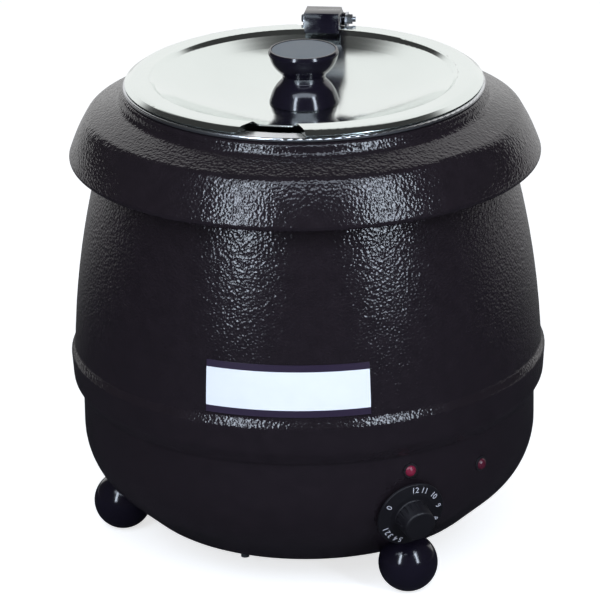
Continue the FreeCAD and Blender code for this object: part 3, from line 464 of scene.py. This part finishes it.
class KETTLE_OT_dial_numbers(bpy.types.Operator):
    """Print the numbers on the dial's skirt"""
    bl_idname = "kettle.dial_numbers"
    bl_label = "Dial numbers"

    def execute(self, context):
        sizes = context.scene.kettle_sizes
        joint = JOINTS["dial_turn"]
        place = outward_frame(joint["pos_m"], joint["axis"])
        radius = sizes.number_radius
        fall = math.atan2(SKIRT_LEDGE[1] - SKIRT_EDGE[1], SKIRT_EDGE[0] - SKIRT_LEDGE[0])
        height = SKIRT_EDGE[1] + (SKIRT_EDGE[0] - radius) * math.tan(fall)
        lift = Matrix.Translation((0, radius, height))
        lean = Matrix.Rotation(-fall, 4, "X")
        for number, angle in NUMBER_ANGLES.items():
            deselect()
            bpy.ops.object.text_add()
            text = context.object
            text.data.body = str(number)
            text.data.align_x = "CENTER"
            text.data.align_y = "CENTER"
            text.data.size = sizes.number_size
            text.data.extrude = sizes.number_relief
            text.data.resolution_u = 3
            bpy.ops.object.convert(target="MESH")
            turn = Matrix.Rotation(-math.radians(angle), 4, "Z")
            context.object.matrix_world = place @ turn @ lift @ lean
            settle(context.object, f"dial_number_{number}",
                   bpy.data.materials["pad_printed_white"], "dial")
        return {"FINISHED"}


class KETTLE_OT_lamp_lenses(bpy.types.Operator):
    """Model the faceted lenses of the two lamps"""
    bl_idname = "kettle.lamp_lenses"
    bl_label = "Lamp lenses"

    def execute(self, context):
        sizes = context.scene.kettle_sizes
        lit = lamp_lens("lit_red_lens", context.scene.kettle_colours.lamp_lit, LIT_GLOW)
        unlit = bpy.data.materials["unlit_red_lens"]
        for lamp, material in (("power", lit), ("heating", unlit)):
            low, high = (Vector(corner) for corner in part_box(f"{lamp}_lamp_lens"))
            middle = 0.5 * (low + high)
            outward = Vector((middle.x, middle.y, 0)).normalized()
            foot = middle - outward * (0.5 * sizes.lens_rise)
            deselect()
            bpy.ops.mesh.primitive_uv_sphere_add(
                segments=sizes.lens_facets, ring_count=sizes.lens_rings, radius=sizes.lens_radius)
            lens = context.object
            bpy.ops.object.mode_set(mode="EDIT")
            bpy.ops.mesh.select_all(action="SELECT")
            bpy.ops.transform.resize(value=(1, 1, sizes.lens_rise / sizes.lens_radius))
            bpy.ops.mesh.bisect(plane_co=(0, 0, 0), plane_no=(0, 0, 1), clear_inner=True,
                                use_fill=True)
            bpy.ops.mesh.select_all(action="SELECT")
            bpy.ops.mesh.remove_doubles(threshold=WELD)
            bpy.ops.mesh.normals_make_consistent(inside=False)
            bpy.ops.object.mode_set(mode="OBJECT")
            bevel = lens.modifiers.new("facet_edges", "BEVEL")
            bevel.width = FACET_EDGE
            bevel.segments = 2
            apply_modifiers(lens)
            lens.matrix_world = outward_frame(foot, outward)
            settle(lens, f"{lamp}_lens", material, "kettle", [f"{lamp}_lamp_lens"])
        return {"FINISHED"}


class KETTLE_OT_hinge_block(bpy.types.Operator):
    """Model the lid's hinge block with rounded edges"""
    bl_idname = "kettle.hinge_block"
    bl_label = "Hinge block"

    def execute(self, context):
        sizes = context.scene.kettle_sizes
        low, high = (Vector(corner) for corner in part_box("hinge_block"))
        pin = Vector(JOINTS["lid_hinge"]["pos_m"])
        knuckle = high.y - pin.y
        length = high.x - low.x
        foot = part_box("lid")[1][2]
        depth = sizes.block_depth

        # Upright front part, standing on the lid
        deselect()
        bpy.ops.mesh.primitive_cube_add(size=1)
        block = context.object
        block.dimensions = (sizes.block_width, depth, high.z - foot)
        block.location = (0, low.y + depth / 2, 0.5 * (high.z + foot))
        bpy.ops.object.transform_apply(location=True, rotation=True, scale=True)

        # Its rear face is drawn out over the pin
        mesh = block.data
        bpy.ops.object.mode_set(mode="EDIT")
        bpy.ops.mesh.select_mode(type="FACE")
        bpy.ops.mesh.select_all(action="DESELECT")
        bpy.ops.object.mode_set(mode="OBJECT")
        for face in mesh.polygons:
            face.select = face.normal.y > REARWARD
        bpy.ops.object.mode_set(mode="EDIT")
        bpy.ops.mesh.extrude_region_move(TRANSFORM_OT_translate={
            "value": (0, pin.y + REAR_REACH * knuckle - low.y - depth, 0)})

        # The rear end's top comes down to the knuckle
        bpy.ops.mesh.select_mode(type="VERT")
        bpy.ops.object.mode_set(mode="OBJECT")
        for vertex in mesh.vertices:
            vertex.select = vertex.co.y > pin.y and vertex.co.z > pin.z
        bpy.ops.object.mode_set(mode="EDIT")
        bpy.ops.transform.translate(value=(0, 0, pin.z + REAR_TOP * knuckle - high.z))
        bpy.ops.mesh.select_all(action="SELECT")
        bpy.ops.mesh.normals_make_consistent(inside=False)
        bpy.ops.object.mode_set(mode="OBJECT")

        # The knuckle is joined, the edges are rounded and the pin's hole is drilled
        barrel = cross_rod(knuckle, length, pin, 48)
        drill = cross_rod(sizes.pin_hole, 2 * length, pin, 32)
        union = block.modifiers.new("knuckle", "BOOLEAN")
        union.operation = "UNION"
        union.object = barrel
        bevel = block.modifiers.new("rounded_edges", "BEVEL")
        bevel.width = sizes.block_bevel
        bevel.segments = 3
        bevel.angle_limit = SHARP_EDGE
        hole = block.modifiers.new("pin_hole", "BOOLEAN")
        hole.operation = "DIFFERENCE"
        hole.object = drill
        deselect()
        block.select_set(True)
        apply_modifiers(block)
        bpy.data.objects.remove(barrel)
        bpy.data.objects.remove(drill)
        bpy.ops.object.shade_smooth_by_angle(angle=SHARP_EDGE)
        settle(block, "hinge_block_moulding", bpy.data.materials["gloss_phenolic"], "lid",
               ["hinge_block"])
        return {"FINISHED"}


class KETTLE_OT_stage(bpy.types.Operator):
    """Set the floor, the softboxes, the surroundings and the camera"""
    bl_idname = "kettle.stage"
    bl_label = "Studio"

    def execute(self, context):
        studio = context.scene.kettle_studio
        deselect()
        bpy.ops.mesh.primitive_plane_add(size=studio.floor_size)
        floor = context.object
        floor.name = "studio_floor"
        floor.data.materials.append(self.floor_paper())
        for name, azimuth, elevation, size, power in SOFTBOXES:
            toward = direction(math.radians(azimuth), math.radians(elevation))
            self.softbox(context.scene, name, toward, size, getattr(studio, power))
        self.surroundings(context.scene, studio.ambient)
        self.camera(context.scene, studio)
        context.scene.view_settings.view_transform = "Standard"
        return {"FINISHED"}

    def ray_kinds(self, tree):
        """Switches for rays that see the stage, straight or through glass, and in a reflection."""
        path = add_node(tree, "ShaderNodeLightPath").outputs
        seen = add_node(tree, "ShaderNodeMath",
                        {0: path["Is Camera Ray"], 1: path["Is Transmission Ray"]},
                        operation="MAXIMUM")
        return seen.outputs[0], path["Is Glossy Ray"]

    def floor_paper(self):
        """White paper: it keeps the shadow, and in reflections it is white only behind."""
        material, tree, coords = new_material("white_paper_sweep")
        seen, mirrored = self.ray_kinds(tree)
        shown = add_node(tree, "ShaderNodeMath", {0: seen, 1: PAPER_GLOW}, operation="MULTIPLY")
        back = add_node(tree, "ShaderNodeSeparateXYZ", {"Vector": coords}).outputs["Y"]
        behind = add_node(tree, "ShaderNodeMapRange",
                          {"Value": back, "From Min": BEHIND_NEAR, "From Max": BEHIND_FAR,
                           "To Min": 0.0, "To Max": BEHIND_GLOW},
                          interpolation_type="SMOOTHSTEP")
        reflected = add_node(tree, "ShaderNodeMath",
                             {0: behind.outputs["Result"], 1: mirrored}, operation="MULTIPLY")
        glow = add_node(tree, "ShaderNodeMath",
                        {0: shown.outputs[0], 1: reflected.outputs[0]}, operation="MAXIMUM")
        paper, rough = mottled(tree, coords, PAPER_PATCH, (linear(PAPER), linear(PAPER_LIGHT)),
                               (0.9, 1.0))
        colour = add_node(tree, "ShaderNodeMix",
                          {FACTOR: mirrored, COLOUR_A: paper, COLOUR_B: linear(PAPER_MIRRORED)},
                          data_type="RGBA")
        close_material(tree, Base_Color=colour.outputs[MIXED_COLOUR], Roughness=rough,
                       Specular_IOR_Level=0.0, Emission_Color=WHITE,
                       Emission_Strength=glow.outputs[0])
        return material

    def softbox(self, scene, name, toward, size, power):
        """Cool white rectangular light that faces the kettle."""
        light = bpy.data.lights.new(name, "AREA")
        light.shape = "RECTANGLE"
        light.size, light.size_y = size
        light.energy = power
        light.color = linear(SOFTBOX_COLOUR)[:3]
        lamp = bpy.data.objects.new(name, light)
        lamp.location = SOFTBOX_AIM + toward * SOFTBOX_DISTANCE
        lamp.rotation_euler = toward.to_track_quat("Z", "Y").to_euler()
        scene.collection.objects.link(lamp)

    def surroundings(self, scene, ambient):
        """Even light all round, white to the camera; reflections see a dim room and a white wall."""
        world = bpy.data.worlds.new("studio_room")
        world.use_nodes = True
        tree = world.node_tree
        tree.nodes.clear()
        seen, mirrored = self.ray_kinds(tree)
        way = add_node(tree, "ShaderNodeTexCoord").outputs["Generated"]
        axes = add_node(tree, "ShaderNodeSeparateXYZ", {"Vector": way}).outputs
        back = add_node(tree, "ShaderNodeMath", {0: axes["Z"], 1: WALL_LEAN, 2: axes["Y"]},
                        operation="MULTIPLY_ADD")
        wall = add_node(tree, "ShaderNodeMapRange",
                        {"Value": back.outputs[0], "From Min": WALL_EDGE[0],
                         "From Max": WALL_EDGE[1], "To Min": WALL_LIGHT[0],
                         "To Max": WALL_LIGHT[1]}, interpolation_type="SMOOTHSTEP")
        unseen = add_node(tree, "ShaderNodeMix",
                          {FACTOR: mirrored, VALUE_A: ambient, VALUE_B: wall.outputs["Result"]})
        level = add_node(tree, "ShaderNodeMix",
                         {FACTOR: seen, VALUE_A: unseen.outputs[MIXED_VALUE], VALUE_B: 1.0})
        room = add_node(tree, "ShaderNodeBackground",
                        {"Color": WHITE, "Strength": level.outputs[MIXED_VALUE]})
        add_node(tree, "ShaderNodeOutputWorld", {"Surface": room.outputs[0]})
        scene.world = world

    def camera(self, scene, studio):
        """Camera at the photo's viewing angle, with its small roll."""
        data = bpy.data.cameras.new("photo_camera")
        data.lens = studio.lens
        data.sensor_width = 36.0
        data.clip_end = 50.0
        camera = bpy.data.objects.new("photo_camera", data)
        toward = direction(studio.azimuth, studio.elevation)
        right = Vector((math.cos(studio.azimuth), math.sin(studio.azimuth), 0))
        aim = Vector((0, 0, studio.aim_height)) - right * studio.aim_left
        turn = (-toward).to_track_quat("-Z", "Y").to_matrix().to_4x4()
        camera.matrix_world = (Matrix.Translation(aim + toward * studio.distance) @ turn
                               @ Matrix.Rotation(-studio.roll, 4, "Z"))
        scene.collection.objects.link(camera)
        scene.camera = camera


class KETTLE_PT_sidebar(bpy.types.Panel):
    """Lists the kettle's operators and settings"""
    bl_label = "Soup kettle"
    bl_idname = "KETTLE_PT_sidebar"
    bl_space_type = "VIEW_3D"
    bl_region_type = "UI"
    bl_category = "Kettle"

    def draw(self, context):
        for step in STEPS:
            self.layout.operator(step.bl_idname)
        for group in GROUPS:
            settings = getattr(context.scene, group)
            for name in settings.bl_rna.properties.keys():
                if name not in ("rna_type", "name"):
                    self.layout.prop(settings, name)


STEPS = (KETTLE_OT_finishes, KETTLE_OT_dial_numbers, KETTLE_OT_lamp_lenses, KETTLE_OT_hinge_block,
         KETTLE_OT_stage)
GROUPS = {"kettle_sizes": KettleSizes, "kettle_colours": KettleColours,
          "kettle_studio": KettleStudio}
CLASSES = tuple(GROUPS.values()) + STEPS + (KETTLE_PT_sidebar,)


def register():
    """Registers the classes and hangs the settings on the scene."""
    for item in CLASSES:
        bpy.utils.register_class(item)
    for name, group in GROUPS.items():
        setattr(bpy.types.Scene, name, PointerProperty(type=group))


def unregister():
    """Takes the settings and the classes away again."""
    for name in GROUPS:
        delattr(bpy.types.Scene, name)
    for item in reversed(CLASSES):
        bpy.utils.unregister_class(item)


def main():
    """Runs the operators in order."""
    register()
    for step in STEPS:
        family, name = step.bl_idname.split(".")
        getattr(getattr(bpy.ops, family), name)()
    bpy.context.view_layer.update()


if __name__ == "__main__":
    main()
